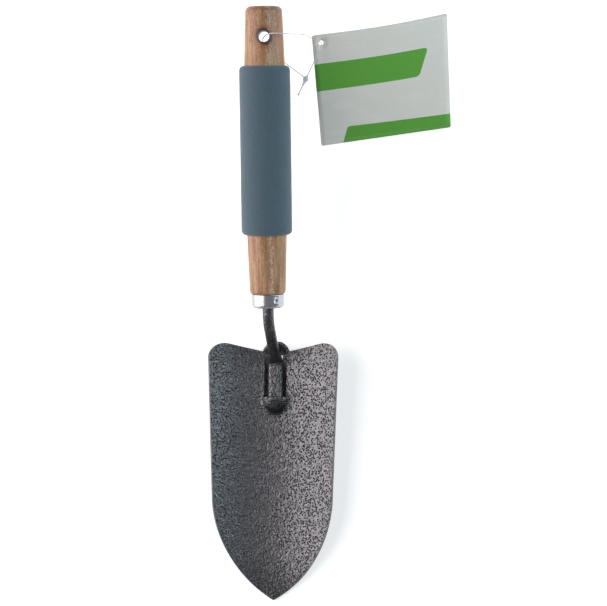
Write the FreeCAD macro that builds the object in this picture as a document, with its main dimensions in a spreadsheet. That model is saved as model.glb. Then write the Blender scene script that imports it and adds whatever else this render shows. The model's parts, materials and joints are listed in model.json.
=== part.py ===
"""Hand trowel: pressed steel blade, cranked shank, ferrule, turned wooden handle, foam grip and a hang tag.

Every piece is drawn in the tool's own lines: Y runs along the handle from the ferrule's mouth (Y = 0) to the
butt, +Z is the hollow side of the blade, and the handle's axis is X = Z = 0. The finished pieces then lie
down together: the blade rests on the back of its heel and its tip, hollow side up, with the handle in the air.
"""

import FreeCAD, Part, Sketcher
import math
import os

from FreeCAD import Placement, Rotation, Vector

SIZES = [
    ("handle_length", 163.4), ("handle_mouth", 7.8), ("butt_radius", 10.4), ("butt_edge", 3.0),
    ("grip_seat_radius", 11.55), ("neck_end_radius", 10.2), ("neck_end_edge", 1.5), ("spigot_radius", 8.45),
    ("hang_hole_radius", 3.3), ("hang_hole_inset", 17.2), ("hang_hole_turn", 8.0),
    ("grip_radius", 14.45), ("grip_start", 41.7), ("grip_length", 96.1), ("grip_edge", 2.8),
    ("ferrule_radius", 9.35), ("ferrule_wall", 0.9), ("ferrule_edge", 1.6),
    ("dimple_radius", 1.6), ("dimple_depth", 0.55), ("dimple_height", 4.4), ("dimple_turn", 40.0),
    ("rod_radius", 3.25), ("tang_depth", 62.0), ("crank_start", 8.0), ("crank_angle", 42.5),
    ("crank_bend", 14.0), ("heel_bend", 5.0), ("strap_half_width", 4.35), ("strap_half_thick", 2.1),
    ("strap_rise", 0.3), ("strap_end", 32.0), ("strap_nose", 3.0), ("nose_width_share", 0.6),
    ("nose_thick_share", 0.5), ("flatten_length", 7.5),
    ("sheet", 1.8), ("section_radius", 66.0), ("spine_pitch", 8.7), ("heel_y", 28.4), ("heel_drop", 25.7),
    ("blade_length", 145.0), ("shoulder_half", 38.7), ("shoulder_rise", 6.8), ("shoulder_edge", 8.5),
    ("waist_half", 35.6), ("waist_at", 83.5), ("ogive_radius", 71.7), ("notch_half", 7.2),
    ("window_half", 6.6), ("window_end", 27.0), ("dome_centre", 2.2), ("dome_radius", 7.4), ("dome_wall", 1.3),
    ("flange_wall", 1.4), ("flange_heel", 7.8), ("flange_foot", 4.2),
    ("hood_radius", 10.0), ("hood_wall", 1.6), ("hood_sink", 5.2), ("past_sheet", 60.0), ("nip", 0.01),
    ("bead_radius", 2.0), ("bead_length", 5.0), ("bead_depth", 1.3), ("bead_reach", 5.3), ("bead_lap", 0.6),
    ("tag_width", 78.5), ("tag_height", 67.5), ("tag_thick", 0.5), ("tag_hole_radius", 1.7),
    ("tag_hole_inset", 5.0), ("tag_corner", 1.2), ("tag_yaw", 11.2), ("tag_pitch", 15.4), ("tag_roll", 31.4),
    ("thread_radius", 0.3), ("lock_radius", 1.5), ("lock_length", 3.0), ("lock_taper", 4.2),
    ("lock_stem", 6.0), ("lock_tip_radius", 0.65),
]

# The hang loop's route, in the lying tool's frame: from the lock, under the butt and up through the handle's
# hole, over the wood, down behind the tag, up through the tag's hole and back over its face to the lock.
LOOP_ROUTE = [
    (19.6, 131.9, 43.9), (12.7, 136.8, 48.0), (2.0, 145.0, 48.6), (-4.6, 151.3, 52.0), (4.2, 149.3, 84.3),
    (15.8, 149.7, 77.6), (21.9, 153.0, 62.4), (23.6, 154.0, 48.5), (28.9, 152.2, 47.2), (31.1, 148.8, 53.8),
    (28.9, 143.5, 54.3), (21.4, 132.3, 44.1),
]
LOCK_HEAD = Vector(20.5, 131.2, 43.0)
TAG_HOLE = Vector(30.2, 150.2, 51.3)

doc = FreeCAD.newDocument("hand_trowel")
cells = doc.addObject("Spreadsheet::Sheet", "sizes")
for row, (word, value) in enumerate(SIZES, start=1):
    cells.set(f"A{row}", word)
    cells.set(f"B{row}", str(value))
    cells.setAlias(f"B{row}", word)
doc.recompute()


def size(word):
    return float(cells.get(word))


def body_named(label):
    body = doc.addObject("PartDesign::Body", label)
    body.Label = label
    return body


def plane_of(body, role):
    return next(part for part in body.Origin.OriginFeatures if part.Role == role)


def sketch_on(body, role, name, offset=None):
    sketch = body.newObject("Sketcher::SketchObject", name)
    sketch.AttachmentSupport = [(plane_of(body, role), "")]
    sketch.MapMode = "FlatFace"
    if offset is not None:
        sketch.AttachmentOffset = offset
    return sketch


def draw_chain(sketch, points, rounded=None, closed=True):
    """Draws straight lines through the points, with an arc of the given radius at some corners."""
    rounded = rounded or {}
    corners = [Vector(*p, 0) for p in points]
    count = len(corners)
    entry, leave = {}, {}
    for i, corner in enumerate(corners):
        entry[i] = leave[i] = corner
        if i in rounded:
            back = (corners[i - 1] - corner).normalize()
            ahead = (corners[(i + 1) % count] - corner).normalize()
            turn = math.pi - back.getAngle(ahead)
            reach = rounded[i] * math.tan(turn / 2)
            entry[i], leave[i] = corner + back * reach, corner + ahead * reach
            middle = (back + ahead).normalize()
            centre = corner + middle * (rounded[i] / math.cos(turn / 2))
            sketch.addGeometry(Part.Arc(entry[i], centre - middle * rounded[i], leave[i]), False)
    for i in range(count if closed else count - 1):
        if (entry[(i + 1) % count] - leave[i]).Length > 1e-6:
            sketch.addGeometry(Part.LineSegment(leave[i], entry[(i + 1) % count]), False)
    return sketch


def circle_on(sketch, centre, radius_word):
    """Adds a circle whose radius is bound to a cell of the sheet."""
    index = sketch.addGeometry(Part.Circle(Vector(*centre, 0), Vector(0, 0, 1), size(radius_word)), False)
    at = sketch.addConstraint(Sketcher.Constraint("Radius", index, size(radius_word)))
    sketch.renameConstraint(at, radius_word)
    sketch.setExpression(f"Constraints.{radius_word}", f"sizes.{radius_word}")
    return sketch


def turned(body, sketch, name="Turned"):
    """Revolves a profile, drawn with X as the radius and Y along the handle, about the handle's axis."""
    feature = body.newObject("PartDesign::Revolution", name)
    feature.Profile = sketch
    feature.ReferenceAxis = (sketch, ["V_Axis"])
    feature.Angle = 360
    return feature


def handle():
    """The turned handle: a long taper with a rounded butt, a spigot for the ferrule and a bore for the tang."""
    body = body_named("handle")
    mouth, butt = size("handle_mouth"), size("handle_mouth") + size("handle_length")
    spigot_foot = size("ferrule_wall")
    seat_low, seat_high = size("grip_start"), size("grip_start") + size("grip_length")
    profile = sketch_on(body, "XY_Plane", "Profile")
    draw_chain(
        profile,
        [
            (0, butt), (size("butt_radius"), butt), (size("grip_seat_radius"), seat_high),
            (size("grip_seat_radius"), seat_low), (size("neck_end_radius"), mouth),
            (size("spigot_radius"), mouth), (size("spigot_radius"), spigot_foot),
            (size("rod_radius"), spigot_foot), (size("rod_radius"), size("tang_depth")),
            (0, size("tang_depth")),
        ],
        {1: size("butt_edge"), 4: size("neck_end_edge")},
    )
    turned(body, profile)
    doc.recompute()
    aside = Placement(Vector(0, 0, 0), Rotation(Vector(0, 1, 0), size("hang_hole_turn")))
    hole = sketch_on(body, "XY_Plane", "HangHole", aside)
    circle_on(hole, (0, butt - size("hang_hole_inset")), "hang_hole_radius")
    pocket = body.newObject("PartDesign::Pocket", "HangHolePocket")
    pocket.Profile = hole
    pocket.Type = "ThroughAll"
    pocket.Midplane = True
    doc.recompute()
    return body


def grip_sleeve():
    """A foam tube pushed over the wood, with rounded end edges."""
    body = body_named("grip_sleeve")
    low, high = size("grip_start"), size("grip_start") + size("grip_length")
    inner, outer = size("grip_seat_radius"), size("grip_radius")
    profile = sketch_on(body, "XY_Plane", "Profile")
    draw_chain(
        profile,
        [(inner, low), (outer, low), (outer, high), (inner, high)],
        {1: size("grip_edge"), 2: size("grip_edge")},
    )
    turned(body, profile)
    return body


def ferrule():
    """A drawn cup over the spigot, its bottom pierced for the shank and one side pricked to hold it."""
    body = body_named("ferrule")
    outer, wall = size("ferrule_radius"), size("ferrule_wall")
    profile = sketch_on(body, "XY_Plane", "Profile")
    draw_chain(
        profile,
        [
            (size("rod_radius"), 0), (outer, 0), (outer, size("handle_mouth")),
            (size("spigot_radius"), size("handle_mouth")), (size("spigot_radius"), wall),
            (size("rod_radius"), wall),
        ],
        {1: size("ferrule_edge")},
    )
    turned(body, profile)
    doc.recompute()
    turn = math.radians(size("dimple_turn"))
    out = Vector(math.sin(turn), 0, math.cos(turn))
    reach = outer - size("dimple_depth") + size("dimple_radius")
    punch = sketch_on(
        body, "XY_Plane", "Punch",
        Placement(out * reach + Vector(0, size("dimple_height"), 0), Rotation(Vector(0, 1, 0), 0)),
    )
    radius = size("dimple_radius")
    punch.addGeometry(Part.LineSegment(Vector(0, -radius, 0), Vector(0, radius, 0)), False)
    punch.addGeometry(Part.Arc(Vector(0, radius, 0), Vector(radius, 0, 0), Vector(0, -radius, 0)), False)
    groove = body.newObject("PartDesign::Groove", "Dimple")
    groove.Profile = punch
    groove.ReferenceAxis = (punch, ["V_Axis"])
    groove.Angle = 360
    return body


def crank_line():
    """The corners of the shank's centre line in the Y-Z plane: tang end, crank, heel, strap end."""
    pitch, steep = math.radians(size("spine_pitch")), math.radians(size("crank_angle"))
    crank_y = -size("crank_start")
    base_z = -size("heel_drop") + size("strap_rise") / math.cos(pitch)
    heel_y = (base_z - math.tan(pitch) * size("heel_y") + crank_y * math.tan(steep)) / (
        math.tan(steep) + math.tan(pitch)
    )
    heel_z = (heel_y - crank_y) * math.tan(steep)
    end_y = -size("heel_y") - size("strap_end") * math.cos(pitch)
    end_z = heel_z + (heel_y - end_y) * math.tan(pitch)
    return [(size("tang_depth"), 0), (crank_y, 0), (heel_y, heel_z), (end_y, end_z)]


def oval(centre, tangent, half_width, half_thick):
    """A closed oval edge across the shank's centre line, wide along X."""
    across = Vector(1, 0, 0)
    along = Vector(0, *tangent).normalize()
    up = along.cross(across)
    at = Vector(0, *centre)
    if half_width - half_thick < 1e-6:
        return Part.Wire(Part.Circle(at, along, half_width).toShape())
    return Part.Wire(Part.Ellipse(at + across * half_width, at + up * half_thick, at).toShape())


def shank():
    """The round rod cranked down to the blade, hammered to an oval strap from the heel bend to its end."""
    start, crank, heel, end = [Vector(0, *p) for p in crank_line()]
    into, down, along = (crank - start).normalize(), (heel - crank).normalize(), (end - heel).normalize()

    def bend(corner, before, after, radius):
        reach = radius * math.tan(before.getAngle(after) / 2)
        entry, leave = corner - before * reach, corner + after * reach
        middle = (after - before).normalize()
        centre = corner + middle * (radius / math.cos(before.getAngle(after) / 2))
        return entry, centre - middle * radius, leave

    crank_in, crank_mid, crank_out = bend(crank, into, down, size("crank_bend"))
    heel_in, heel_mid, heel_out = bend(heel, down, along, size("heel_bend"))
    flat_from = heel_in - down * size("flatten_length")
    nose_from = end - along * size("strap_nose")
    rod, wide, thick = size("rod_radius"), size("strap_half_width"), size("strap_half_thick")
    nose = (wide * size("nose_width_share"), thick * size("nose_thick_share"))
    rod_path = Part.Wire([
        Part.LineSegment(start, crank_in).toShape(),
        Part.Arc(crank_in, crank_mid, crank_out).toShape(),
        Part.LineSegment(crank_out, flat_from).toShape(),
    ])
    strap_path = Part.Wire([
        Part.Arc(heel_in, heel_mid, heel_out).toShape(),
        Part.LineSegment(heel_out, nose_from).toShape(),
    ])

    def ring(at, tangent, half_width, half_thick):
        return oval((at.y, at.z), (tangent.y, tangent.z), half_width, half_thick)

    pieces = [
        rod_path.makePipeShell([ring(start, into, rod, rod)], True, True),
        Part.makeLoft([ring(flat_from, down, rod, rod), ring(heel_in, down, wide, thick)], True),
        strap_path.makePipeShell([ring(heel_in, down, wide, thick)], True, True),
        Part.makeLoft([ring(nose_from, along, wide, thick), ring(end, along, *nose)], True),
    ]
    whole = pieces[0].fuse(pieces[1:]).removeSplitter()
    feature = doc.addObject("Part::Feature", "shank")
    feature.Label = "shank"
    feature.Shape = whole.Solids[0] if len(whole.Solids) == 1 else whole
    return feature


def blade_lines():
    """Carries the blade's own lines (Y towards the handle, Z out of its hollow side) to the tool's."""
    return Placement(
        Vector(0, -size("heel_y"), -size("heel_drop")), Rotation(Vector(1, 0, 0), -size("spine_pitch"))
    )


def blade_outline():
    """The plan of the blade: shoulders above a notch, long near-straight edges and a pointed arch for a tip."""
    half, rise, edge = size("shoulder_half"), size("shoulder_rise"), size("shoulder_edge")
    waist, waist_y, tip_y = size("waist_half"), -size("waist_at"), -size("blade_length")
    radius = size("ogive_radius")
    chord = Vector(-waist, tip_y - waist_y, 0)
    out = Vector(-chord.y, chord.x, 0).normalize()
    middle = Vector(waist / 2, (waist_y + tip_y) / 2, 0)
    sag = radius - math.sqrt(radius ** 2 - (chord.Length / 2) ** 2)
    arc_mid = middle + out * sag

    notch = Vector(size("notch_half"), 0, 0)
    corner, low = Vector(half, rise, 0), Vector(waist, waist_y, 0)
    back, ahead = (notch - corner).normalize(), (low - corner).normalize()
    turn = math.pi - back.getAngle(ahead)
    reach = edge * math.tan(turn / 2)
    entry, leave = corner + back * reach, corner + ahead * reach
    bisector = (back + ahead).normalize()
    mid = corner + bisector * (edge / math.cos(turn / 2) - edge)

    def flipped(point):
        return Vector(-point.x, point.y, 0)

    tip = Vector(0, tip_y, 0)
    edges = [
        Part.LineSegment(notch, entry), Part.Arc(entry, mid, leave), Part.LineSegment(leave, low),
        Part.Arc(low, arc_mid, tip), Part.Arc(tip, flipped(arc_mid), flipped(low)),
        Part.LineSegment(flipped(low), flipped(leave)), Part.Arc(flipped(leave), flipped(mid), flipped(entry)),
        Part.LineSegment(flipped(entry), flipped(notch)), Part.LineSegment(flipped(notch), notch),
    ]
    return Part.Face(Part.Wire([side.toShape() for side in edges]))


def sphere(radius, centre_y, centre_z):
    return Part.makeSphere(radius, Vector(0, centre_y, centre_z))


def slab(x_half, y_low, y_high, z_low, z_high):
    return Part.makeBox(2 * x_half, y_high - y_low, z_high - z_low, Vector(-x_half, y_low, z_low))


def trough(radius):
    """A long cylinder lying along the blade above its spine: everything in front of the pressed sheet."""
    past = size("past_sheet")
    centre = Vector(0, -size("blade_length") - past, size("section_radius"))
    return Part.makeCylinder(radius, size("blade_length") + 2 * past, centre, Vector(0, 1, 0))


def blade():
    """The pressed sheet: scooped section, dome and folded flanges at the heel, and the hood over the strap."""
    sheet, window, foot = size("sheet"), size("window_half"), -size("window_end")
    dome_y, dome, hood, sink = -size("dome_centre"), size("dome_radius"), size("hood_radius"), size("hood_sink")
    past, nip = size("past_sheet"), size("nip")
    front = trough(size("section_radius"))
    prism = blade_outline().extrude(Vector(0, 0, size("section_radius")))
    prism.translate(Vector(0, 0, -size("section_radius") / 3))
    shell = trough(size("section_radius") + sheet).cut(front).common(prism)

    cap = sphere(dome, dome_y, 0).common(slab(past, dome_y, past, -past, past)).cut(front)
    flanges = []
    for side in (-1, 1):
        near, far = side * window, side * (window + size("flange_wall"))
        profile = Part.Wire(Part.makePolygon([
            Vector(near, dome_y, -size("flange_heel")), Vector(near, foot, -size("flange_foot")),
            Vector(near, foot, 0), Vector(near, dome_y, 0), Vector(near, dome_y, -size("flange_heel")),
        ]))
        flanges.append(Part.Face(profile).extrude(Vector(far - near, 0, 0)))
    hood_half = sphere(hood, foot, -sink).common(slab(past, foot - past, foot, -sheet, past))
    pressed = shell.fuse([cap, hood_half] + flanges)

    inner_dome = sphere(dome - size("dome_wall"), dome_y, 0)
    inner_dome = inner_dome.common(slab(past, dome_y - nip, past, -past, past))
    inner_hood = sphere(hood - size("hood_wall"), foot, -sink)
    inner_hood = inner_hood.common(slab(past, foot - past, foot + nip, -past, past))
    opening = slab(window, foot, dome_y, -past, past)
    pressed = pressed.cut([opening, inner_dome, inner_hood]).removeSplitter()
    feature = doc.addObject("Part::Feature", "blade")
    feature.Label = "blade"
    pressed.Placement = blade_lines()
    feature.Shape = pressed
    return feature


def weld_beads(blade_piece, shank_piece):
    """Two short beads inside the hood, each filling the gap between the strap's edge and the sheet."""
    last = size("bead_lap") - size("window_end") - size("bead_length")
    rod = Part.makeCylinder(
        size("bead_radius"), size("bead_length"),
        Vector(-size("bead_reach"), last, -size("bead_depth")), Vector(0, 1, 0),
    )
    rod.Placement = blade_lines()
    bead = rod.cut(blade_piece.Shape).cut(shank_piece.Shape)
    pair = Part.makeCompound([bead, bead.mirror(Vector(0, 0, 0), Vector(1, 0, 0))])
    feature = doc.addObject("Part::Feature", "weld_beads")
    feature.Label = "weld_beads"
    feature.Shape = pair
    return feature


def tag_card():
    """A stiff printed card with a hole in one corner, leaning from the loop to the surface."""
    body = body_named("tag_card")
    inset, wide, tall = size("tag_hole_inset"), size("tag_width"), size("tag_height")
    left, right, top, bottom = -inset, wide - inset, inset, inset - tall
    card = sketch_on(body, "XY_Plane", "Card")
    corner = size("tag_corner")
    draw_chain(
        card, [(left, top), (right, top), (right, bottom), (left, bottom)],
        {0: corner, 1: corner, 2: corner, 3: corner},
    )
    circle_on(card, (0, 0), "tag_hole_radius")
    pad = body.newObject("PartDesign::Pad", "Thickness")
    pad.Profile = card
    pad.setExpression("Length", "sizes.tag_thick")
    pad.Midplane = True
    body.Placement = Placement(TAG_HOLE, Rotation(size("tag_yaw"), size("tag_pitch"), size("tag_roll")))
    return body


def hang_loop():
    """The nylon thread along its route: straight runs joined by arcs as large as the runs allow."""
    share = 0.45
    points = [Vector(*p) for p in LOOP_ROUTE]
    edges, at = [], points[0]
    for before, corner, after in zip(points, points[1:], points[2:]):
        back, ahead = (before - corner).normalize(), (after - corner).normalize()
        turn = math.pi - back.getAngle(ahead)
        reach = share * min((before - corner).Length, (after - corner).Length)
        radius = reach / math.tan(turn / 2)
        middle = (back + ahead).normalize()
        entry, leave = corner + back * reach, corner + ahead * reach
        top = corner + middle * (radius / math.cos(turn / 2) - radius)
        edges += [Part.LineSegment(at, entry).toShape(), Part.Arc(entry, top, leave).toShape()]
        at = leave
    edges.append(Part.LineSegment(at, points[-1]).toShape())
    path = Part.Wire(edges)
    thread = size("thread_radius")
    start = Part.Wire(Part.Circle(points[0], points[1] - points[0], thread).toShape())
    tube = path.makePipeShell([start], True, True)
    feature = doc.addObject("Part::Feature", "hang_loop")
    feature.Label = "hang_loop"
    feature.Shape = tube
    return feature


def loop_lock():
    """The loop's moulded lock: a round head, a taper and the thread's stem with its small end bead."""
    head = doc.addObject("Part::Cylinder", "LockHead")
    head.setExpression("Radius", "sizes.lock_radius")
    head.setExpression("Height", "sizes.lock_length")
    taper = doc.addObject("Part::Cone", "LockTaper")
    taper.setExpression("Radius1", "sizes.lock_radius")
    taper.setExpression("Radius2", "sizes.thread_radius")
    taper.setExpression("Height", "sizes.lock_taper")
    taper.setExpression("Placement.Base.z", "sizes.lock_length")
    stem = doc.addObject("Part::Cylinder", "LockStem")
    stem.setExpression("Radius", "sizes.thread_radius")
    stem.setExpression("Height", "sizes.lock_stem")
    stem.setExpression("Placement.Base.z", "sizes.lock_length + sizes.lock_taper")
    bead = doc.addObject("Part::Sphere", "LockBead")
    bead.setExpression("Radius", "sizes.lock_tip_radius")
    bead.setExpression("Placement.Base.z", "sizes.lock_length + sizes.lock_taper + sizes.lock_stem")
    lock = doc.addObject("Part::MultiFuse", "loop_lock")
    lock.Label = "loop_lock"
    lock.Shapes = [head, taper, stem, bead]
    along = (LOCK_HEAD - Vector(*LOOP_ROUTE[-2])).normalize()
    lock.Placement = Placement(
        LOCK_HEAD - along * (size("lock_length") / 2), Rotation(Vector(0, 0, 1), along)
    )
    return lock


def laid_down():
    """The turn and shift that lay the tool on its heel and tip, with the origin under the box's middle."""
    pitch = size("spine_pitch")
    heel = Vector(0, -size("dome_centre"), -size("flange_heel"))
    tip = Vector(0, -size("blade_length"), -size("sheet"))
    lean = math.degrees(math.atan2(tip.z - heel.z, heel.y - tip.y))
    return Rotation(Vector(1, 0, 0), pitch + lean)


tool_pieces = [handle(), grip_sleeve(), ferrule()]
doc.recompute()
shank_piece, blade_piece = shank(), blade()
tool_pieces += [shank_piece, blade_piece, weld_beads(blade_piece, shank_piece)]
doc.recompute()

turn = laid_down()
boxes = [piece.Shape.transformed(Placement(Vector(0, 0, 0), turn).toMatrix()).BoundBox for piece in tool_pieces]
low_y, high_y = min(box.YMin for box in boxes), max(box.YMax for box in boxes)
low_z = min(box.ZMin for box in boxes)
lie = Placement(Vector(0, -(low_y + high_y) / 2, -low_z), turn)
for piece in tool_pieces:
    piece.Placement = lie.multiply(piece.Placement)
all_pieces = tool_pieces + [tag_card(), hang_loop(), loop_lock()]
doc.recompute()

for item in doc.Objects:
    if "Invalid" in item.State or "Error" in item.State:
        raise RuntimeError(f"{item.Name} did not recompute")
os.makedirs("parts", exist_ok=True)
for piece in all_pieces:
    shape = piece.Shape
    if shape.isNull() or not shape.isValid():
        raise RuntimeError(f"{piece.Label} has no valid shape")
    shape.exportStep(f"parts/{piece.Label}.step")
    print(piece.Label, "solids", len(shape.Solids), "volume", round(shape.Volume))
print("lie", lie.Base, "turn", math.degrees(turn.Angle))
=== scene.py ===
"""Looks for the hand trowel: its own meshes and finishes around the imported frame, in metres."""

import json
import math

import bmesh
import bpy
from mathutils import Matrix, Vector, noise


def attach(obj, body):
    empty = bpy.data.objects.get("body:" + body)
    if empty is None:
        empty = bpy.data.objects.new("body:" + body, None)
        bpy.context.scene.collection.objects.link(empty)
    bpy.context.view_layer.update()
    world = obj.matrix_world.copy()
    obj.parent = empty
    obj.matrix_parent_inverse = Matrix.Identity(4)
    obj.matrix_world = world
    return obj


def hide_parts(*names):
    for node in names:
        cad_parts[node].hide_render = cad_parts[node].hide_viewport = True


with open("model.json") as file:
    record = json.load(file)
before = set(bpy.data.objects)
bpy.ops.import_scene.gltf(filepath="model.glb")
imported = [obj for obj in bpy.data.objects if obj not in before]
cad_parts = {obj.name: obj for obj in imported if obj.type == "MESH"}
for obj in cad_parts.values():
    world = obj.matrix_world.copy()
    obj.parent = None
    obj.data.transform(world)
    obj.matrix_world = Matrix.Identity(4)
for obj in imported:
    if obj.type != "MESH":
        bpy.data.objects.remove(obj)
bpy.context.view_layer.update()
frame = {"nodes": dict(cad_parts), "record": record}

MM = 0.001
MOUNTS = {mount["name"]: mount for mount in frame["record"]["mounts"]}

# --- the tool's own lines -----------------------------------------------------------------------------
BUTT_Y = 171.2 * MM
SHEET = 1.8 * MM
SPINE_PITCH = math.radians(8.7)
HEEL_Y, HEEL_DROP = 28.4 * MM, 25.7 * MM


def tool_lines():
    """The matrix from the tool's lines (Y to the butt, Z out of the hollow side) to the row's."""
    along = Vector(MOUNTS["butt_face"]["axis"]).normalized()
    across = Vector((1, 0, 0))
    start = Vector(MOUNTS["butt_face"]["pos_m"]) - along * BUTT_Y
    turn = Matrix((across, along, across.cross(along))).transposed().to_4x4()
    return Matrix.Translation(start) @ turn


TOOL = tool_lines()
BLADE = TOOL @ Matrix.Translation((0, -HEEL_Y, -HEEL_DROP)) @ Matrix.Rotation(-SPINE_PITCH, 4, "X")


# --- shader maths --------------------------------------------------------------------------------------
class Sock:
    """A shader value: Python operators on it add the nodes that work them out."""

    def __init__(self, tree, socket):
        self.tree, self.socket = tree, socket

    def _math(self, operation, *values):
        return self.tree.node("ShaderNodeMath", {"operation": operation}, dict(enumerate(values)))

    def __add__(self, other): return self._math("ADD", self, other)
    def __radd__(self, other): return self._math("ADD", other, self)
    def __sub__(self, other): return self._math("SUBTRACT", self, other)
    def __rsub__(self, other): return self._math("SUBTRACT", other, self)
    def __mul__(self, other): return self._math("MULTIPLY", self, other)
    def __gt__(self, other): return self._math("GREATER_THAN", self, other)
    def __lt__(self, other): return self._math("LESS_THAN", self, other)

    def abs(self): return self._math("ABSOLUTE", self)
    def sqrt(self): return self._math("SQRT", self)
    def above_zero(self): return self._math("MAXIMUM", self, 0.0)

    def ramp(self, low, high, to_low=0.0, to_high=1.0):
        """Maps low..high smoothly to to_low..to_high, and holds the ends."""
        return self.tree.node(
            "ShaderNodeMapRange", {"interpolation_type": "SMOOTHSTEP"},
            {"Value": self, "From Min": low, "From Max": high, "To Min": to_low, "To Max": to_high},
        )

    def mix(self, first, second):
        """The colour that goes from first to second as this value goes from 0 to 1."""
        return self.tree.node(
            "ShaderNodeMix", {"data_type": "RGBA"}, {0: self, 6: first, 7: second}, "Result", 2
        )


class Finish:
    """A material and the means to build it."""

    def __init__(self, name):
        self.material = bpy.data.materials.new(name)
        self.material.use_nodes = True
        self.nodes, self.links = self.material.node_tree.nodes, self.material.node_tree.links
        self.shader = self.nodes["Principled BSDF"]

    def node(self, kind, settings=None, values=None, output=0, which=0):
        """Adds a node: settings first, then values or links for its sockets; gives one of its outputs."""
        node = self.nodes.new(kind)
        for key, value in (settings or {}).items():
            setattr(node, key, value)
        for key, value in (values or {}).items():
            self.feed(node.inputs[key], value)
        if isinstance(output, str):
            named = [socket for socket in node.outputs if socket.name == output]
            return Sock(self, named[which if which < len(named) else 0])
        return Sock(self, node.outputs[output])

    def feed(self, socket, value):
        if isinstance(value, Sock):
            self.links.new(value.socket, socket)
        elif isinstance(value, tuple) and len(value) == 3 and socket.type == "RGBA":
            socket.default_value = (*value, 1.0)
        else:
            socket.default_value = value

    def set(self, **values):
        for key, value in values.items():
            self.feed(self.shader.inputs[key.replace("_", " ")], value)
        return self

    def place(self, matrix=None, stretch=(1, 1, 1)):
        """Object coordinates, brought back to a piece's own lines in millimetres and stretched."""
        here = self.node("ShaderNodeTexCoord", output="Object")
        back = (matrix or Matrix.Identity(4)).inverted()
        turned = self.node(
            "ShaderNodeMapping", {},
            {"Vector": here, "Location": back.translation, "Rotation": back.to_euler("XYZ")}, "Vector",
        )
        scale = tuple(1000.0 * part for part in stretch)
        return self.node("ShaderNodeVectorMath", {"operation": "MULTIPLY"}, {0: turned, 1: scale}, "Vector")

    def noise(self, where, scale, detail=2.0, roughness=0.5, distortion=0.0):
        return self.node(
            "ShaderNodeTexNoise", {},
            {"Vector": where, "Scale": scale, "Detail": detail, "Roughness": roughness,
             "Distortion": distortion},
        )

    def cells(self, where, scale):
        """The distance to the nearest of many scattered points."""
        values = {"Vector": where, "Scale": scale}
        return self.node("ShaderNodeTexVoronoi", {"feature": "F1"}, values, "Distance")

    def part_of(self, where, letter):
        """The X, Y or Z part of a vector."""
        return self.node("ShaderNodeSeparateXYZ", {}, {0: where}, letter)

    def distance(self, where, spot):
        return self.node("ShaderNodeVectorMath", {"operation": "DISTANCE"}, {0: where, 1: spot}, "Value")

    def bump(self, height, distance, strength=1.0, before=None):
        values = {"Height": height, "Distance": distance, "Strength": strength}
        if before is not None:
            values["Normal"] = before
        return self.node("ShaderNodeBump", {}, values, "Normal")


# --- mesh helpers --------------------------------------------------------------------------------------
def finished(bm, name, matrix=None, sharp=35.0, turn_out=True):
    """Makes the object: place in the mesh, faces outwards, smooth but for edges sharper than given."""
    if matrix is not None:
        bmesh.ops.transform(bm, matrix=matrix, verts=bm.verts)
    if turn_out:
        bmesh.ops.recalc_face_normals(bm, faces=bm.faces)
    for face in bm.faces:
        face.smooth = True
    for edge in bm.edges:
        if len(edge.link_faces) == 2:
            edge.smooth = edge.calc_face_angle(0.0) < math.radians(sharp)
    mesh = bpy.data.meshes.new(name)
    bm.to_mesh(mesh)
    bm.free()
    piece = bpy.data.objects.new(name, mesh)
    bpy.context.scene.collection.objects.link(piece)
    return piece


def rounded(points, corners, steps=6):
    """A profile through the points, where the named corners are turned into arcs of the given radius."""
    line = []
    for index, point in enumerate(points):
        corner = Vector(point)
        if index not in corners:
            line.append(corner)
            continue
        back = (Vector(points[index - 1]) - corner).normalized()
        ahead = (Vector(points[(index + 1) % len(points)]) - corner).normalized()
        turn = math.pi - back.angle(ahead)
        radius = corners[index]
        centre = corner + (back + ahead).normalized() * (radius / math.cos(turn / 2))
        start = corner + back * (radius * math.tan(turn / 2)) - centre
        spin = math.copysign(turn, back.x * start.y - back.y * start.x)
        for step in range(steps + 1):
            angle = spin * step / steps
            line.append(centre + Matrix.Rotation(angle, 2) @ start)
    return line


def turned(profile, name, matrix=None, steps=96, closed=True, shape=None, sharp=35.0):
    """Spins a profile of (radius, Y) points about the Y axis."""
    bm = bmesh.new()
    verts = [bm.verts.new((max(point[0], 0.0), point[1], 0.0)) for point in profile]
    pairs = list(zip(verts, verts[1:] + verts[:1])) if closed else list(zip(verts, verts[1:]))
    edges = [bm.edges.new(pair) for pair in pairs]
    bmesh.ops.spin(
        bm, geom=verts + edges, cent=(0, 0, 0), axis=(0, 1, 0), angle=math.tau, steps=steps, use_merge=True
    )
    bmesh.ops.remove_doubles(bm, verts=bm.verts, dist=1e-6)
    if shape:
        for vert in bm.verts:
            vert.co = shape(vert.co.copy())
    return finished(bm, name, matrix, sharp)


def stepped(line, pitch):
    """Adds points along a profile so that no straight stretch is longer than the pitch."""
    points = [line[0]]
    for ahead in line[1:]:
        start = points[-1]
        count = max(1, math.ceil((ahead - start).length / pitch))
        points += [start.lerp(ahead, step / count) for step in range(1, count + 1)]
    return points


def baked(piece):
    """The piece with its modifiers applied."""
    mesh = bpy.data.meshes.new_from_object(piece.evaluated_get(bpy.context.evaluated_depsgraph_get()))
    piece.modifiers.clear()
    piece.data = mesh
    return piece


def dress(piece, finish, body, node):
    """Gives a piece its finish, its body and the CAD node it stands for."""
    piece.data.materials.clear()
    piece.data.materials.append(finish.material)
    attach(piece, body)
    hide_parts(node)
    return piece


# --- finishes ------------------------------------------------------------------------------------------
# Painted shade: spots in the hood and the arch where the enamel is painted dark, in millimetres on the
# blade's lines.
SHADE_SPOTS = ((0.0, -32.5, 2.0), (0.0, -1.0, -4.0))
SHADE_INNER, SHADE_OUTER, SHADE_TONE = 4.0, 8.0, 0.40
CRATER_LOW, CRATER_HIGH = 0.20, 0.40


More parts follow.
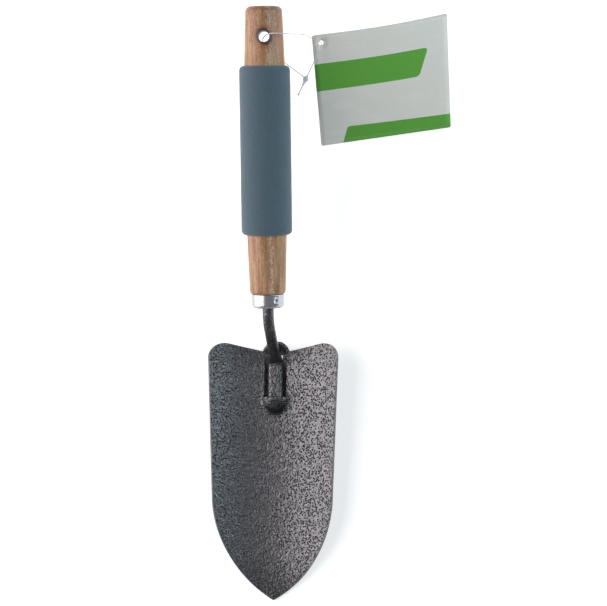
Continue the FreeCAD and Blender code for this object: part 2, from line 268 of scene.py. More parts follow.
def hammered(name, pitch, low, high, gloss, shade_ramp):
    """Baked hammer-finish enamel: small dark craters crowded in a lighter, pebbled metallic paint.

    The shade ramp is a ramp along the blade's Y that darkens the paint at one end, as painted shade."""
    finish = Finish(name)
    where = finish.place(BLADE)
    drift = finish.noise(where, pitch * 0.8, 2.0)
    craters = finish.cells(where, pitch) + (drift - 0.5) * 0.16
    fine = finish.noise(where, pitch * 4.5, 3.0, 0.7)
    wash = finish.noise(where, 0.035, 2.0)
    raised = craters.ramp(CRATER_LOW, CRATER_HIGH)
    # Painted shade: the paint is darkened along Y, towards the blade's tip and on the rod's neck.
    tone = (raised * (0.35 + fine * 0.95) + (wash - 0.5) * 0.12) * finish.part_of(where, "Y").ramp(*shade_ramp)
    # Painted shade: the paint is darkened in the hollow of the hood and in the arch.
    for spot in SHADE_SPOTS:
        tone = tone * finish.distance(where, spot).ramp(SHADE_INNER, SHADE_OUTER, SHADE_TONE, 1.0)
    bump = finish.bump(craters.ramp(0.08, 0.60) * 0.5 + drift, 0.00060, 0.9)
    finish.set(
        Base_Color=tone.mix(low, high), Metallic=0.93,
        Roughness=raised.ramp(0.0, 1.0, 0.18, 0.26) + fine * 0.08,
        Normal=finish.bump(fine, 0.00010, 0.6, bump), Coat_Weight=gloss, Coat_Roughness=0.18,
    )
    return finish


def hammered_enamel():
    """The blade's enamel, darkened towards the tip as painted shade."""
    return hammered(
        "hammered_enamel", 0.92, (0.012, 0.014, 0.018), (0.222, 0.218, 0.228), 0.12,
        (-146.0, -112.0, 0.50, 1.0),
    )


def rod_enamel():
    """The same enamel, glossier on the rod and the strap, and darkened on the rod's neck as painted shade."""
    return hammered(
        "rod_enamel", 0.95, (0.006, 0.007, 0.009), (0.215, 0.213, 0.222), 0.4, (-8.0, 2.0, 1.0, 0.58)
    )


def bright_plate():
    """Plated drawn steel: fine draw lines around it and faint dull spots."""
    finish = Finish("ferrule_plate")
    rings = finish.noise(finish.place(TOOL, (0.12, 3.0, 0.12)), 1.0, 2.0, 0.6)
    spots = finish.noise(finish.place(TOOL), 0.9, 3.0)
    colour = spots.ramp(0.35, 0.75).mix((0.64, 0.63, 0.66), (0.54, 0.54, 0.57))
    finish.set(
        Base_Color=colour, Metallic=0.84, Roughness=0.18 + rings * 0.08 + spots.ramp(0.5, 0.8) * 0.12,
        Normal=finish.bump(rings, 0.00003, 0.5),
    )
    return finish


def turned_wood():
    """Oiled hardwood: long grain, short dark pores, warm streaks, and a darker rim at the hole."""
    finish = Finish("turned_wood")
    grain = finish.noise(finish.place(TOOL, (0.55, 0.035, 0.55)), 1.0, 4.0, 0.6, 0.3)
    broad = finish.noise(finish.place(TOOL, (0.16, 0.022, 0.16)), 1.0, 3.0, 0.5)
    pores = finish.noise(finish.place(TOOL, (3.2, 0.30, 3.2)), 1.0, 3.0, 0.7)
    mottle = finish.noise(finish.place(TOOL, (1.1, 0.55, 1.1)), 1.0, 3.0, 0.6)
    colour = grain.ramp(0.32, 0.68).mix((0.300, 0.135, 0.052), (0.560, 0.315, 0.150))
    colour = (broad.ramp(0.42, 0.66) * 0.65).mix(colour, (0.420, 0.155, 0.055))
    colour = (mottle.ramp(0.50, 0.72) * 0.50).mix(colour, (0.620, 0.420, 0.260))
    here = finish.place(TOOL)
    butt = finish.part_of(here, "Y").ramp(158.0, 171.0)
    colour = ((pores + butt * 0.09).ramp(0.55, 0.68) * 0.80).mix(colour, (0.100, 0.045, 0.022))
    # Painted highlight: pale flecks along a line right of centre stand in for the gloss reflection of a strip
    # light on the varnish.
    off_glint_line = (finish.part_of(here, "X") - 4.0).abs()
    glint_noise = finish.noise(finish.place(TOOL, (2.4, 0.7, 2.4)), 1.0, 2.0, 0.6)
    painted_glints = (glint_noise + (1.0 - off_glint_line.ramp(0.4, 2.6)) * 0.16).ramp(0.66, 0.74)
    colour = (painted_glints * 0.8).mix(colour, (0.720, 0.640, 0.540))
    # Darker round the hanging hole, darkest at its rim.
    hole_ring = hole_reach(finish) + (mottle - 0.5) * 3.0
    colour = ((1.0 - hole_ring.ramp(4.2, 7.2)) * 0.55).mix(colour, (0.260, 0.095, 0.035))
    colour = (1.0 - hole_ring.ramp(3.6, 4.6)).mix(colour, (0.080, 0.036, 0.018))
    bump = finish.bump(grain, 0.00014, 0.6)
    bump = finish.bump(pores, 0.00014, 0.8, bump)
    finish.set(
        Base_Color=colour, Roughness=0.38 + pores * 0.25, Normal=bump, Coat_Weight=0.3, Coat_Roughness=0.22
    )
    return finish


def hole_lines():
    """The hanging hole's own lines: its axis is Z."""
    centre, axis = Vector(MOUNTS["hanging_hole"]["pos_m"]), Vector(MOUNTS["hanging_hole"]["axis"])
    return Matrix.Translation(centre) @ axis.to_track_quat("Z", "Y").to_matrix().to_4x4()


def hole_reach(finish):
    """The distance in millimetres from the hanging hole's axis."""
    flat = finish.place(hole_lines(), (1, 0.78, 0))
    return finish.node("ShaderNodeVectorMath", {"operation": "LENGTH"}, {0: flat}, "Value")


def grip_foam():
    """Closed-cell foam: matt and blue-grey, with fine pores and a soft wear sheen."""
    finish = Finish("grip_foam")
    where = finish.place(TOOL)
    pores = finish.cells(where, 1.7)
    fine = finish.noise(where, 2.6, 3.0, 0.65)
    patch = finish.noise(where, 0.12, 3.0)
    ribs = finish.noise(finish.place(TOOL, (1.5, 0.06, 1.5)), 1.0, 2.0, 0.6)
    tone = pores.ramp(0.10, 0.55) * 0.45 + fine * 0.3 + ribs * 0.3
    colour = tone.mix((0.045, 0.077, 0.101), (0.095, 0.164, 0.206))
    colour = (patch.ramp(0.4, 0.7) * 0.4).mix(colour, (0.088, 0.124, 0.148))
    bump = finish.bump(pores, 0.00018, 0.6)
    finish.set(
        Base_Color=colour, Roughness=0.72 + fine * 0.2, Normal=finish.bump(fine, 0.00010, 0.5, bump),
        Sheen_Weight=0.25, Sheen_Roughness=0.5,
    )
    return finish


def band(across, down, end, slant, edges, corner):
    """A band of print between two edges down the card, with rounded corners at its slanted end."""
    middle, half = (edges[0] + edges[1]) * 0.5, (edges[1] - edges[0]) * 0.5
    past_side = ((down - middle).abs() - half + corner).above_zero()
    past_end = (across + down * slant - end + corner).above_zero()
    return (past_side * past_side + past_end * past_end).sqrt() < corner


def tag_print():
    """Coated card: a warm grey face with two plain green bands whose ends are cut on a slant."""
    finish = Finish("tag_print")
    spot = finish.node("ShaderNodeUVMap", {"uv_map": "card"}, {}, "UV")
    across, down = finish.part_of(spot, "X"), finish.part_of(spot, "Y")
    upper = band(across, down, 0.925, 0.31, (0.258, 0.502), 0.030)
    lower = band(1.0 - across, down, 0.533, -0.30, (0.848 + across * 0.030, 1.5), 0.018)
    fibre = finish.noise(finish.place(), 1.4, 4.0, 0.6)
    scuffs = finish.noise(finish.place(TOOL, (0.05, 0.09, 0.05)), 1.0, 4.0, 0.7)
    paper = (fibre * 0.6 + scuffs.ramp(0.45, 0.7) * 0.5).mix((0.850, 0.830, 0.760), (0.930, 0.910, 0.850))
    ink = fibre.mix((0.108, 0.395, 0.040), (0.160, 0.500, 0.066))
    green = (upper + lower) * (across > -0.2)
    finish.set(
        Base_Color=green.mix(paper, ink), Roughness=0.42 + fibre * 0.12,
        Normal=finish.bump(fibre, 0.00003, 0.3), Coat_Weight=0.2, Coat_Roughness=0.25,
    )
    return finish


def clear_nylon():
    """Drawn nylon: milky and glossy, partly clear."""
    finish = Finish("clear_nylon")
    haze = finish.noise(finish.place(), 1.2, 2.0)
    colour = haze.mix((0.72, 0.76, 0.86), (0.86, 0.89, 0.95))
    finish.set(Base_Color=colour, Roughness=0.16 + haze * 0.12, Alpha=0.75, Coat_Weight=0.3, IOR=1.53)
    return finish


# --- the blade -----------------------------------------------------------------------------------------
SECTION_RADIUS = 66.0 * MM
BLADE_LENGTH = 145.0 * MM
SHOULDER_HALF, SHOULDER_RISE, SHOULDER_EDGE = 38.7 * MM, 6.8 * MM, 8.5 * MM
WAIST_HALF, WAIST_AT, OGIVE_RADIUS = 35.6 * MM, 83.5 * MM, 71.7 * MM
ARCH_HALF, ARCH_Y = 7.2 * MM, -2.2 * MM
WINDOW_HALF, WINDOW_END = 6.6 * MM, 27.0 * MM
DOME_DEPTH = 5.7 * MM
HOOD_HALF, HOOD_LENGTH, HOOD_HEIGHT = 7.6 * MM, 8.9 * MM, 4.8 * MM
FLANGE_HEEL, FLANGE_FOOT, FLANGE_LIP = 7.7 * MM, 4.2 * MM, 3.4 * MM
FLANGE_STEPS = ((0.12, 0.0), (0.5, 0.0), (0.86, 0.0), (0.97, 0.25), (1.0, 1.0))
RIM_EDGE, NEAR = 0.4 * MM, 1e-6
# From, to, pitch and axis (0 across, 1 along) of the lines that the flat sheet is cut on.
BLADE_GRID = (
    (-WINDOW_HALF, WINDOW_HALF, WINDOW_HALF / 16, 0),
    (-12 * MM, -7.2 * MM, 0.6 * MM, 0),
    (7.2 * MM, 12 * MM, 0.6 * MM, 0),
    (-38 * MM, -14 * MM, 2.0 * MM, 0),
    (14 * MM, 38 * MM, 2.0 * MM, 0),
    (ARCH_Y, ARCH_Y + 7.2 * MM, 0.45 * MM, 1),
    (-WINDOW_END, ARCH_Y, 1.55 * MM, 1),
    (-WINDOW_END - 12 * MM, -WINDOW_END, 0.5 * MM, 1),
    (-BLADE_LENGTH + 2 * MM, -WINDOW_END - 14 * MM, 2.6 * MM, 1),
)


def ogive(steps=26):
    """The pointed tip's right edge, an arc from the waist to the tip."""
    waist, tip = Vector((WAIST_HALF, -WAIST_AT)), Vector((0, -BLADE_LENGTH))
    chord = tip - waist
    out = Vector((-chord.y, chord.x)).normalized()
    centre = (waist + tip) / 2 - out * math.sqrt(OGIVE_RADIUS ** 2 - (chord.length / 2) ** 2)
    start, end = waist - centre, tip - centre
    sweep = start.angle_signed(end)
    return [centre + Matrix.Rotation(-sweep * step / steps, 2) @ start for step in range(steps + 1)]


def blade_outline():
    """The blade's plan, anticlockwise from the arch over the socket."""
    side = [(ARCH_HALF, 0.0), (SHOULDER_HALF, SHOULDER_RISE), (WAIST_HALF, -WAIST_AT)]
    right = rounded(side, {1: SHOULDER_EDGE}, 12)[:-1]
    arch_steps = 22
    arch = [
        Vector((ARCH_HALF * math.cos(angle), ARCH_Y + ARCH_HALF * math.sin(angle)))
        for angle in (math.pi * step / arch_steps for step in range(arch_steps + 1))
    ]
    arch = [point for point in arch if point.y > 0.0]
    half = right + ogive()
    left = [Vector((-point.x, point.y)) for point in reversed(half[:-1])]
    return half + left + arch[::-1]


def smooth(value, low, high):
    part = min(max((value - low) / (high - low), 0.0), 1.0)
    return part * part * (3 - 2 * part)


def hood_height(x, y):
    """The hood over the strap: a rounded half cap with a soft skirt, open towards the handle."""
    past = -WINDOW_END - y
    along = max(past, 0.0)
    reach = math.hypot(x / HOOD_HALF, along / HOOD_LENGTH)
    cap = math.sqrt(max(1.0 - reach ** 2, 0.0))
    skirt = math.exp(-max(reach - 0.93, 0.0) * 9.0) * 0.32 if reach > 0.93 else 0.0
    rise = HOOD_HEIGHT * max(cap, skirt)
    if past < 0.0:
        rise *= math.exp(past / (1.1 * MM))
    return rise


def dome_depth(x, y):
    """The hollow pressed back behind the arch."""
    reach = math.hypot(x, y - ARCH_Y) / (ARCH_HALF * 0.94)
    return DOME_DEPTH * max(1.0 - reach ** 2, 0.0) ** 0.62


def sheet_height(x, y):
    """The blade's front surface above its spine."""
    rise = SECTION_RADIUS - math.sqrt(SECTION_RADIUS ** 2 - x * x)
    return rise + hood_height(x, y) - (dome_depth(x, y) if y > ARCH_Y - NEAR else 0.0)


def cut_lines(bm, low, high, pitch, axis):
    """Cuts the flat sheet along evenly spaced lines across one axis."""
    count = round((high - low) / pitch)
    normal = Vector((1, 0, 0)) if axis == 0 else Vector((0, 1, 0))
    for step in range(count + 1):
        at = low + (high - low) * step / count
        bmesh.ops.bisect_plane(
            bm, geom=bm.verts[:] + bm.edges[:] + bm.faces[:], dist=1e-7, plane_co=normal * at, plane_no=normal
        )


def blade_sheet():
    """The pressed sheet, drawn flat, cut into a grid, pressed to shape and given its thickness."""
    bm = bmesh.new()
    bm.faces.new([bm.verts.new((point.x, point.y, 0.0)) for point in blade_outline()])
    for low, high, pitch, axis in BLADE_GRID:
        cut_lines(bm, low, high, pitch, axis)
    middles = {face: face.calc_center_median() for face in bm.faces}
    window = [
        face for face, middle in middles.items()
        if abs(middle.x) < WINDOW_HALF and -WINDOW_END < middle.y < ARCH_Y
    ]
    bmesh.ops.delete(bm, geom=window, context="FACES")
    bmesh.ops.recalc_face_normals(bm, faces=bm.faces)
    for face in bm.faces:
        if face.normal.z < 0:
            face.normal_flip()
    for vert in bm.verts:
        vert.co.z = sheet_height(vert.co.x, vert.co.y)
        vert.co.x *= 1.0 - SHEET / (SECTION_RADIUS + SHEET) * smooth(abs(vert.co.x), 8 * MM, 28 * MM)
    sides = [
        edge for edge in bm.edges
        if all(abs(abs(vert.co.x) - WINDOW_HALF) < NEAR for vert in edge.verts) and edge.is_boundary
        and all(-WINDOW_END - NEAR < vert.co.y < ARCH_Y + NEAR for vert in edge.verts)
    ]
    top = SECTION_RADIUS - math.sqrt(SECTION_RADIUS ** 2 - WINDOW_HALF ** 2)
    for depth, inward in FLANGE_STEPS:
        made = bmesh.ops.extrude_edge_only(bm, edges=sides)["geom"]
        sides = [item for item in made if isinstance(item, bmesh.types.BMEdge)]
        for vert in {vert for edge in sides for vert in edge.verts}:
            down = (vert.co.y + WINDOW_END) / (ARCH_Y + WINDOW_END)
            foot = -(FLANGE_FOOT + (FLANGE_HEEL - FLANGE_FOOT) * down)
            vert.co.z = top + (foot + SHEET - top) * depth
            vert.co.x = math.copysign(WINDOW_HALF - FLANGE_LIP * inward, vert.co.x)
        sides = [edge for edge in sides if edge.is_boundary]
    piece = finished(bm, "blade_sheet", BLADE, turn_out=False)
    thick = piece.modifiers.new("thickness", "SOLIDIFY")
    thick.thickness, thick.offset, thick.use_even_offset = SHEET, -1.0, True
    edge = piece.modifiers.new("rim", "BEVEL")
    edge.width, edge.segments = RIM_EDGE, 2
    edge.limit_method, edge.angle_limit = "ANGLE", math.radians(50)
    return baked(piece)


# --- the shank -----------------------------------------------------------------------------------------
ROD = 3.25 * MM
CRANK_START, CRANK_ANGLE, CRANK_BEND = 8.0 * MM, math.radians(42.5), 14.0 * MM
HEEL_BEND, STRAP_END = 5.0 * MM, 32.0 * MM
STRAP_HALF, STRAP_THICK, STRAP_RISE = 4.4 * MM, 2.1 * MM, 0.3 * MM
TANG_DEPTH = 62.0 * MM
NOSE_LENGTH, NOSE_WIDTH, NOSE_THICKNESS = 3.6 * MM, 0.35, 0.30
FLATTEN_FROM, FLATTEN_TO, STRAP_SQUARENESS = 10.0 * MM, 1.0 * MM, 0.30


def crank_corners():
    """The corners of the shank's centre line as (Y, Z): tang end, crank, heel and strap end."""
    steep, pitch = math.tan(CRANK_ANGLE), math.tan(SPINE_PITCH)
    base = -HEEL_DROP + STRAP_RISE / math.cos(SPINE_PITCH)
    heel_y = (base - pitch * HEEL_Y - CRANK_START * steep) / (steep + pitch)
    heel_z = (heel_y + CRANK_START) * steep
    end_y = -HEEL_Y - STRAP_END * math.cos(SPINE_PITCH)
    end_z = heel_z + (heel_y - end_y) * pitch
    return [(TANG_DEPTH, 0.0), (-CRANK_START, 0.0), (heel_y, heel_z), (end_y, end_z)]


def shank_rod():
    """The rod: round in the handle and neck, flattened to a strap from the heel bend to its nose."""
    corners = crank_corners()
    line = stepped(rounded(corners, {1: CRANK_BEND, 2: HEEL_BEND}, 12), 1.2 * MM)
    run = [0.0]
    for before, after in zip(line, line[1:]):
        run.append(run[-1] + (after - before).length)
    heel = min(range(len(line)), key=lambda i: (line[i] - Vector(corners[2])).length)
    bm = bmesh.new()
    rings = []
    for index, point in enumerate(line):
        ahead = (line[min(index + 1, len(line) - 1)] - line[max(index - 1, 0)]).normalized()
        flat = smooth(run[index], run[heel] - FLATTEN_FROM, run[heel] - FLATTEN_TO)
        left = run[-1] - run[index]
        nose = math.sqrt(max(1.0 - max(1.0 - left / NOSE_LENGTH, 0.0) ** 2, 0.0))
        wide = (ROD + (STRAP_HALF - ROD) * flat) * (NOSE_WIDTH + (1 - NOSE_WIDTH) * nose)
        thick = (ROD + (STRAP_THICK - ROD) * flat) * (NOSE_THICKNESS + (1 - NOSE_THICKNESS) * nose)
        ring = bmesh.ops.create_circle(bm, segments=40, radius=1.0)["verts"]
        up = Vector((0, -ahead.y, ahead.x))
        for vert in ring:
            level = max(-1.0, min(1.0, vert.co.y * (1.0 + STRAP_SQUARENESS * flat)))
            side = Vector((vert.co.x * wide, 0, 0))
            vert.co = Vector((0, point.x, point.y)) + side + up * (level * thick)
        rings.append(ring)
    for near, far in zip(rings, rings[1:]):
        edges = {edge for vert in near + far for edge in vert.link_edges if len(edge.link_faces) < 2}
        both = set(near) | set(far)
        bmesh.ops.bridge_loops(bm, edges=[edge for edge in edges if both.issuperset(edge.verts)])
    for ring in (rings[0], rings[-1]):
        bmesh.ops.contextual_create(bm, geom=ring)
    return finished(bm, "shank_rod", TOOL, sharp=50.0)


# --- ferrule, handle and grip --------------------------------------------------------------------------
FERRULE_RADIUS, FERRULE_HEIGHT, FERRULE_WALL, FERRULE_EDGE = 9.35 * MM, 7.8 * MM, 0.9 * MM, 1.7 * MM
SPIGOT_RADIUS = 8.45 * MM
DIMPLE_TURN, DIMPLE_HEIGHT, DIMPLE_RADIUS, DIMPLE_DEPTH = math.radians(38), 4.5 * MM, 1.35 * MM, 0.6 * MM


def ferrule_cup():
    """The plated cup with its rolled lower edge and the pricked dimple that holds it on the wood."""
    inner = FERRULE_RADIUS - FERRULE_WALL
    corners = [
        (ROD, 0.0), (FERRULE_RADIUS * 0.985, 0.0), (FERRULE_RADIUS, FERRULE_HEIGHT),
        (inner, FERRULE_HEIGHT), (inner, FERRULE_WALL), (ROD, FERRULE_WALL),
    ]
    profile = stepped(rounded(corners, {1: FERRULE_EDGE, 2: 0.3 * MM}, 8), 0.28 * MM)
    punch = Vector((
        math.sin(DIMPLE_TURN) * FERRULE_RADIUS, DIMPLE_HEIGHT, math.cos(DIMPLE_TURN) * FERRULE_RADIUS
    ))

    def pricked(spot):
        out = Vector((spot.x, 0, spot.z))
        near = (spot - punch).length / DIMPLE_RADIUS
        if out.length > inner + 0.3 * MM and near < 1.6:
            pit = DIMPLE_DEPTH * max(1.0 - near ** 2, 0.0) ** 1.3
            lip = 0.10 * MM * math.exp(-((near - 1.1) / 0.22) ** 2)
            spot += out.normalized() * (lip - pit)
        return spot

    return turned(profile, "ferrule_cup", TOOL, steps=240, shape=pricked)


HANDLE_MOUTH, BUTT_RADIUS, BUTT_EDGE = 7.8 * MM, 10.4 * MM, 3.2 * MM
SEAT_RADIUS, NECK_END_RADIUS, NECK_END_EDGE = 11.55 * MM, 10.2 * MM, 1.9 * MM
GRIP_START, GRIP_LENGTH, GRIP_RADIUS, GRIP_EDGE = 41.7 * MM, 96.1 * MM, 14.45 * MM, 2.8 * MM
HOLE_RADIUS = 3.3 * MM
DRILL_HALF, DRILL_FLARE, SINK_AT, SINK_RIM = 16.0 * MM, 6 * MM, 10.9 * MM, 0.8 * MM


def handle_wood():
    """The turned handle with its drilled hanging hole, whose torn rims are opened a little."""
    grip_end = GRIP_START + GRIP_LENGTH
    corners = [
        (0.0, BUTT_Y), (BUTT_RADIUS, BUTT_Y), (SEAT_RADIUS, grip_end), (SEAT_RADIUS - 0.24 * MM, GRIP_START),
        (NECK_END_RADIUS, HANDLE_MOUTH), (SPIGOT_RADIUS, HANDLE_MOUTH), (SPIGOT_RADIUS, FERRULE_WALL),
        (0.0, FERRULE_WALL),
    ]
    profile = rounded(corners, {1: BUTT_EDGE, 4: NECK_END_EDGE}, 8)
    profile = stepped(profile, 3.0 * MM)
    wood = turned(profile, "handle_wood", TOOL, steps=128, closed=False)
    drill = bmesh.new()
    flared, sink = HOLE_RADIUS + DRILL_FLARE, SINK_AT - SINK_RIM * 0.4
    corners = (
        (0, -DRILL_HALF), (flared, -DRILL_HALF), (HOLE_RADIUS, -sink), (HOLE_RADIUS, sink),
        (flared, DRILL_HALF), (0, DRILL_HALF),
    )
    line = stepped([Vector(point) for point in corners], 1.2 * MM)
    verts = [drill.verts.new((x, 0, z)) for x, z in line]
    edges = [drill.edges.new(pair) for pair in zip(verts, verts[1:])]
    bmesh.ops.spin(
        drill, geom=verts + edges, cent=(0, 0, 0), axis=(0, 0, 1), angle=math.tau, steps=64, use_merge=True
    )
    bmesh.ops.remove_doubles(drill, verts=drill.verts, dist=1e-6)
    for vert in drill.verts:
        torn = noise.noise(vert.co * 900.0) * 0.22 * MM + noise.noise(vert.co * 350.0) * 0.15 * MM
        out = Vector((vert.co.x, vert.co.y, 0))
        if out.length > HOLE_RADIUS * 0.5:
            vert.co += out.normalized() * (torn - 0.1 * MM)
    cutter = finished(drill, "hole_drill", hole_lines())
    cut = wood.modifiers.new("hole", "BOOLEAN")
    cut.operation, cut.object, cut.solver = "DIFFERENCE", cutter, "EXACT"
    baked(wood)
    bpy.data.objects.remove(cutter)
    bm = bmesh.new()
    bm.from_mesh(wood.data)
    for edge in bm.edges:
        if len(edge.link_faces) == 2:
            edge.smooth = edge.calc_face_angle(0.0) < math.radians(24)
    bm.to_mesh(wood.data)
    bm.free()
    return wood


def grip_foam_tube():
    """The foam sleeve: a thick soft tube with rounded ends and a skin that is never quite even."""
    inner, end = SEAT_RADIUS, GRIP_START + GRIP_LENGTH
    corners = [(inner, GRIP_START), (GRIP_RADIUS, GRIP_START), (GRIP_RADIUS, end), (inner, end)]
    line = rounded(corners, {1: GRIP_EDGE, 2: GRIP_EDGE}, 8)
    profile = stepped(line, 1.6 * MM)

    def soft(spot):
        out = Vector((spot.x, 0, spot.z))
        if out.length > inner + 0.4 * MM:
            swell = noise.noise(spot * 95.0) * 0.10 * MM + noise.noise(spot * 420.0) * 0.035 * MM
            spot += out.normalized() * swell
        return spot

    return turned(profile, "grip_foam_tube", TOOL, steps=144, shape=soft, sharp=60.0)


# --- tag and loop --------------------------------------------------------------------------------------
TAG_WIDTH, TAG_HEIGHT, TAG_THICK = 78.5 * MM, 67.5 * MM, 0.5 * MM
TAG_INSET, TAG_CORNER, TAG_GRID = 5.0 * MM, 1.2 * MM, 3.4 * MM
TAG_HOLE_RADIUS = 1.5 * MM
TAG_BELLY, TAG_CURL, TAG_DROOP, TAG_SKEW = 2.4 * MM, 5.4 * MM, 1.6 * MM, 3.4 * MM
TAG_HOLE = Vector((30.2, 150.2, 51.3)) * MM
TAG_YAW, TAG_PITCH, TAG_ROLL = math.radians(11.2), math.radians(15.4), math.radians(31.4)
LOOP_ROUTE = [
    (19.6, 131.9, 43.9), (12.7, 136.8, 48.0), (2.0, 145.0, 48.6), (-4.6, 151.3, 52.0), (4.2, 149.3, 84.3),
    (15.8, 149.7, 77.6), (21.9, 153.0, 62.4), (23.6, 154.0, 48.5), (28.9, 152.2, 47.2), (31.1, 148.8, 53.8),
    (28.9, 143.5, 54.3), (21.4, 132.3, 44.1),
]
LOCK_HEAD = Vector((20.5, 131.2, 43.0)) * MM
THREAD = 0.3 * MM
# Radius and height in millimetres, from the head's top to the end bead.
LOCK_PROFILE = (
    (0.0, -1.9), (0.7, -1.9), (1.15, -1.2), (1.75, -0.2), (1.7, 0.7), (1.25, 1.6), (0.85, 3.4), (0.5, 5.4),
    (0.4, 6.4), (0.38, 10.2), (0.42, 11.0), (0.62, 11.35), (0.68, 11.8), (0.55, 12.25), (0.0, 12.45),
)


def tag_card():
    """The card: rounded corners, a punched hole, a hint of curl, and a map of its face for the print."""
    left, right, top, bottom = -TAG_INSET, TAG_WIDTH - TAG_INSET, TAG_INSET, TAG_INSET - TAG_HEIGHT
    corners = [(left, top), (right, top), (right, bottom), (left, bottom)]
    line = rounded(corners, {index: TAG_CORNER for index in range(4)}, 5)
    bm = bmesh.new()
    bm.faces.new([bm.verts.new((point.x, point.y, 0.0)) for point in line])
    for axis, low, high in ((0, left, right), (1, bottom, top)):
        cut_lines(bm, low + TAG_GRID, high - TAG_GRID, TAG_GRID, axis)
    hole = 1.3 * TAG_HOLE_RADIUS
    for axis in (0, 1):
        cut_lines(bm, -hole, hole, hole, axis)
    square = [
        face for face in bm.faces
        if max(abs(face.calc_center_median().x), abs(face.calc_center_median().y)) < hole
    ]
    rim = {vert for face in square for vert in face.verts}
    bmesh.ops.delete(bm, geom=square, context="FACES")
    rim = [vert for vert in rim if vert.is_valid]
    edges = [edge for edge in bm.edges if edge.is_boundary and all(v in rim for v in edge.verts)]
    bmesh.ops.subdivide_edges(bm, edges=edges, cuts=3)
    around = {v for e in bm.edges if e.is_boundary for v in e.verts if v.co.length < hole * 1.5}
    for vert in around:
        vert.co = vert.co.normalized() * TAG_HOLE_RADIUS
    for face in bm.faces:
        if face.normal.z < 0:
            face.normal_flip()
    layer = bm.loops.layers.uv.new("card")
    for face in bm.faces:
        for loop in face.loops:
            spot = loop.vert.co
            loop[layer].uv = ((spot.x - left) / TAG_WIDTH, (top - spot.y) / TAG_HEIGHT)
    for vert in bm.verts:
        along, up = max(vert.co.x, 0.0) / right, (vert.co.y - bottom) / TAG_HEIGHT
        vert.co.x += TAG_SKEW * along * (up - 0.25)
        vert.co.z += (TAG_BELLY * math.sin(math.pi * along) - TAG_CURL * along ** 2) * up
        vert.co.z -= TAG_DROOP * (1.0 - along) * (1.0 - up)
    hang = Matrix.Rotation(TAG_YAW, 4, "Z") @ Matrix.Rotation(TAG_PITCH, 4, "Y")
    turn = hang @ Matrix.Rotation(TAG_ROLL, 4, "X")
    card = finished(bm, "tag_board", Matrix.Translation(TAG_HOLE) @ turn, turn_out=False)
    thick = card.modifiers.new("board", "SOLIDIFY")
    thick.thickness, thick.offset = TAG_THICK, 0.0
    return baked(card)


def loop_thread():
    """The nylon thread on its smooth route."""
    curve = bpy.data.curves.new("loop_thread", "CURVE")
    curve.dimensions = "3D"
    curve.bevel_depth = THREAD
    curve.bevel_resolution = 4
    curve.use_fill_caps = True
    spline = curve.splines.new("NURBS")
    spline.points.add(len(LOOP_ROUTE) - 1)
    for point, spot in zip(spline.points, LOOP_ROUTE):
        point.co = (*(Vector(spot) * MM), 1.0)
    spline.order_u = 3
    spline.use_endpoint_u = True
    spline.resolution_u = 12
    thread = bpy.data.objects.new("loop_thread", curve)
    bpy.context.scene.collection.objects.link(thread)
    return thread


def lock_bead():
    """The loop's lock: a faceted head, a taper, the thread's stem and its end bead."""
    along = (LOCK_HEAD - Vector(LOOP_ROUTE[-2]) * MM).normalized()
    line = [Vector((radius * MM, height * MM)) for radius, height in LOCK_PROFILE]
    turn = along.to_track_quat("Y", "Z").to_matrix().to_4x4()
    return turned(line, "lock_bead", Matrix.Translation(LOCK_HEAD) @ turn, steps=24, closed=False, sharp=40.0)


# --- putting it together -------------------------------------------------------------------------------
enamel, rod_paint = hammered_enamel(), rod_enamel()
dress(blade_sheet(), enamel, "trowel", "blade")
dress(shank_rod(), rod_paint, "trowel", "shank")
dress(ferrule_cup(), bright_plate(), "trowel", "ferrule")
dress(handle_wood(), turned_wood(), "trowel", "handle")
grip = dress(grip_foam_tube(), grip_foam(), "trowel", "grip_sleeve")
beads = frame["nodes"]["weld_beads"]
for index in range(len(beads.data.materials)):
    beads.data.materials[index] = rod_paint.material
dress(tag_card(), tag_print(), "tag", "tag_card")
nylon = clear_nylon()
lock = dress(lock_bead(), nylon, "loop", "loop_lock")
thread = dress(loop_thread(), nylon, "loop", "hang_loop")


# --- floor, light and camera ---------------------------------------------------------------------------
def floor():
    """A wide pale floor that glows a little."""
    bm = bmesh.new()
    bmesh.ops.create_grid(bm, x_segments=1, y_segments=1, size=4.0)
    piece = finished(bm, "pale_floor", turn_out=False)
    paint = Finish("floor_paint")
    paint.set(
        Base_Color=(0.92, 0.92, 0.92), Roughness=0.9, Specular_IOR_Level=0.1, Emission_Strength=0.55,
        Emission_Color=(1.0, 1.0, 1.0),
    )
    piece.data.materials.append(paint.material)
    return piece


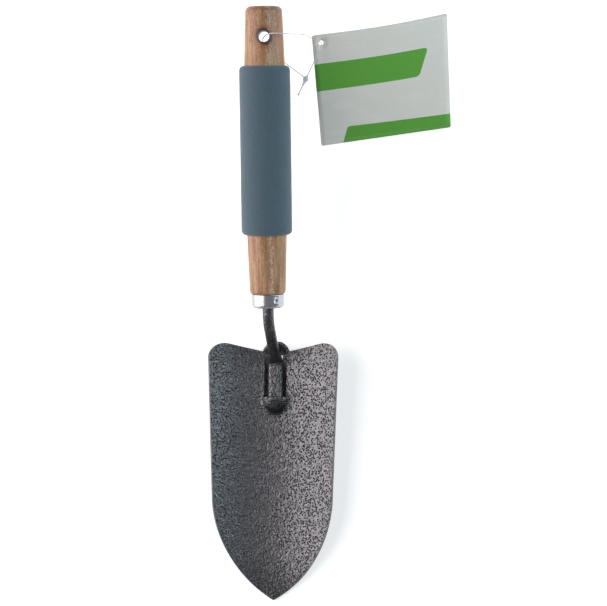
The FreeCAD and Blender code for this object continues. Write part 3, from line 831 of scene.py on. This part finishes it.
def softbox(name, place, target, size, power, colour):
    """A rectangular area light that faces its target."""
    data = bpy.data.lights.new(name, "AREA")
    data.shape, data.size, data.size_y = "RECTANGLE", size[0], size[1]
    data.energy, data.color = power, colour
    lamp = bpy.data.objects.new(name, data)
    lamp.location = place
    lamp.rotation_euler = (Vector(target) - Vector(place)).to_track_quat("-Z", "Y").to_euler()
    bpy.context.scene.collection.objects.link(lamp)
    return lamp


def studio():
    """A big warm softbox on the left, a small cool one at the upper right, and a pale surround."""
    world = bpy.data.worlds.new("surround")
    world.use_nodes = True
    glow = world.node_tree.nodes["Background"].inputs
    glow["Color"].default_value, glow["Strength"].default_value = (0.93, 0.96, 1.0, 1.0), 0.15
    bpy.context.scene.world = world
    softbox("warm_box", (-1.05, 0.05, 0.66), (0, 0, 0.03), (1.2, 1.9), 19.6, (1.0, 0.94, 0.95))
    softbox("cool_box", (1.10, 0.30, 0.48), (0, 0, 0.03), (0.50, 1.2), 7.4, (0.76, 0.94, 1.0))


VIEW_TILT, VIEW_ROLL, VIEW_SPIN = math.radians(5.54), math.radians(8.36), math.radians(0.87)
VIEW_DISTANCE, VIEW_LENS, VIEW_SENSOR = 1.263, 126.8, 36.0
VIEW_ASIDE, VIEW_UP = 14.7 * MM, 5.7 * MM


def camera():
    """Looks down on the lying tool, a little from its right and from the tip's side."""
    level = math.cos(VIEW_ROLL)
    towards = Vector((math.sin(VIEW_ROLL), -level * math.sin(VIEW_TILT), level * math.cos(VIEW_TILT)))
    right = Vector((0, 1, 0)).cross(towards).normalized()
    up = towards.cross(right)
    turn = Matrix.Rotation(VIEW_SPIN, 3, towards)
    right, up = turn @ right, turn @ up
    data = bpy.data.cameras.new("view")
    data.lens, data.sensor_width = VIEW_LENS, VIEW_SENSOR
    eye = bpy.data.objects.new("view", data)
    turn = Matrix((right, up, towards)).transposed().to_4x4()
    eye.matrix_world = Matrix.Translation(right * VIEW_ASIDE + up * VIEW_UP + towards * VIEW_DISTANCE) @ turn
    bpy.context.scene.collection.objects.link(eye)
    bpy.context.scene.camera = eye


floor()
studio()
camera()
bpy.context.scene.view_settings.view_transform = "Standard"
